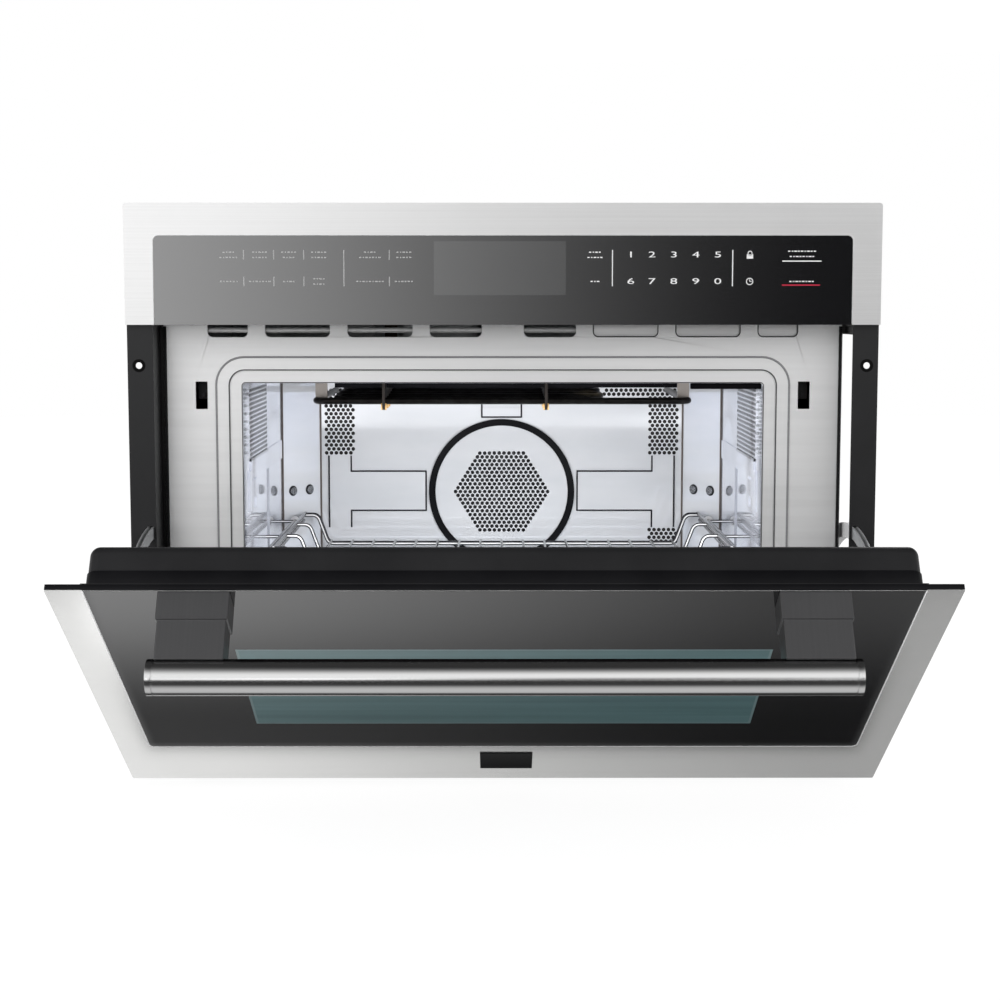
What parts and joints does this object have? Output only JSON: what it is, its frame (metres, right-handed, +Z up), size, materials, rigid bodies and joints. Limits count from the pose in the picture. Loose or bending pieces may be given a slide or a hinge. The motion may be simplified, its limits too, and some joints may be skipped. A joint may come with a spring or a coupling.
{
  "type": "wall oven microwave combo",
  "caption": "Built-in wall oven with microwave: steel cavity, drop-down glass door with bar handle, touch-glass control fascia, wire rack, broil element, turntable and rear fan.",
  "frame": {"origin": "centre of the base plate's underside", "axes": "+X to the right seen from the front, +Y into the cabinet, +Z up; the door is part open towards -Y"},
  "size_m": [0.757, 0.9653, 0.591],
  "materials": {
    "stainless": "fine horizontal brushing, satin",
    "inner_steel": "bright rolled stainless, half gloss",
    "plated_steel": "galvanised sheet, dull spangle",
    "black_enamel": "smooth black enamel",
    "satin_bracket": "dark satin grey",
    "dark_glass": "dark printed glass, polished",
    "clear_glass": "clear heat-proof glass",
    "window_glass": "grey tinted glass",
    "chrome_wire": "bright chromed wire",
    "heater_sheath": "dark oxidised sheath",
    "ceramic_bead": "unglazed buff ceramic",
    "black_plastic": "fine-grained black plastic",
    "white_plastic": "plain white plastic",
    "circuit_board": "green board, satin",
    "display_black": "black display face",
    "mica": "layered mica sheet, pearly",
    "cast_aluminium": "pressed and cast aluminium",
    "core_steel": "varnished laminations",
    "steel_part": "plain zinc-plated steel",
    "blanket": "pale glass-fibre blanket"
  },
  "bodies": {
    "oven": {"base_plate": "plated_steel", "casing_side_right": "plated_steel", "casing_side_left": "plated_steel", "casing_top": "plated_steel", "rear_panel": "plated_steel", "conduit_gland": "steel_part", "face_plate": "inner_steel", "side_strip_right": "black_enamel", "side_strip_left": "black_enamel", "arm_guides": "plated_steel", "fascia_frame": "stainless", "control_glass": "dark_glass", "control_housing": "black_plastic", "touch_board": "circuit_board", "display_module": "display_black", "power_board": "circuit_board", "hinge_brackets": "steel_part", "interlock_switches": "black_plastic", "cavity_ceiling": "inner_steel", "cavity_floor": "inner_steel", "cavity_side_right": "inner_steel", "cavity_side_left": "inner_steel", "cavity_rear": "inner_steel", "cavity_screws": "steel_part", "fan_ring": "inner_steel", "fan_cover": "inner_steel", "fan_plenum": "plated_steel", "ring_heater": "heater_sheath", "convection_motor": "steel_part", "broil_element": "heater_sheath", "element_clips": "ceramic_bead", "rack_supports": "chrome_wire", "turntable_motor": "steel_part", "waveguide_cover": "mica", "waveguide": "plated_steel", "magnetron": "cast_aluminium", "component_deck": "plated_steel", "transformer": "core_steel", "capacitor": "cast_aluminium", "blower_housing": "plated_steel", "blower_motor": "steel_part", "cavity_lamp": "steel_part", "insulation": "blanket"},
    "door": {"door_frame": "stainless", "door_glass": "dark_glass", "door_liner": "black_enamel", "door_choke_plate": "black_enamel", "door_inner_glass": "window_glass", "handle_bar": "stainless", "handle_brackets": "satin_bracket", "hinge_arms": "steel_part", "stay_arms": "plated_steel"},
    "latch": {"latch_hooks": "steel_part"},
    "plungers": {"interlock_plungers": "black_plastic"},
    "cooking_fan": {"convection_fan": "cast_aluminium"},
    "cooling_wheel": {"blower_wheel": "black_plastic"},
    "turntable": {"turntable_glass": "clear_glass", "turntable_coupler": "white_plastic"},
    "roller_track": {"roller_ring": "white_plastic"},
    "rack": {"wire_rack": "chrome_wire"}
  },
  "joints": [
    {"name": "door_hinge", "type": "hinge", "parent": "oven", "child": "door", "pos_m": [0, -0.276, 0.0133], "axis": [1, 0, 0], "range_deg": [-55, 35]},
    {"name": "latch_tilt", "type": "hinge", "parent": "door", "child": "latch", "pos_m": [0, -0.58457, 0.24157], "axis": [1, 0, 0], "range_deg": [-4, 4], "stiffness_Nm_per_rad": 4},
    {"name": "plunger_slide", "type": "slide", "parent": "oven", "child": "plungers", "axis": [0, 1, 0], "range_m": [0, 0.003], "stiffness_N_per_m": 400},
    {"name": "cooking_fan_spin", "type": "hinge", "parent": "oven", "child": "cooking_fan", "pos_m": [0, 0.165, 0.2584], "axis": [0, 1, 0], "continuous": true},
    {"name": "cooling_wheel_spin", "type": "hinge", "parent": "oven", "child": "cooling_wheel", "pos_m": [-0.23, 0.086, 0.4962], "axis": [1, 0, 0], "continuous": true},
    {"name": "turntable_spin", "type": "hinge", "parent": "oven", "child": "turntable", "pos_m": [0, -0.053, 0.12], "axis": [0, 0, 1], "continuous": true},
    {"name": "roller_ring_spin", "type": "hinge", "parent": "oven", "child": "roller_track", "pos_m": [0, -0.053, 0.112], "axis": [0, 0, 1], "continuous": true},
    {"name": "rack_slide", "type": "slide", "parent": "oven", "child": "rack", "axis": [0, -1, 0], "range_m": [0, 0.026]}
  ],
  "couplings": [
    {"joint": "roller_ring_spin", "follows": "turntable_spin", "ratio": 0.5}
  ]
}
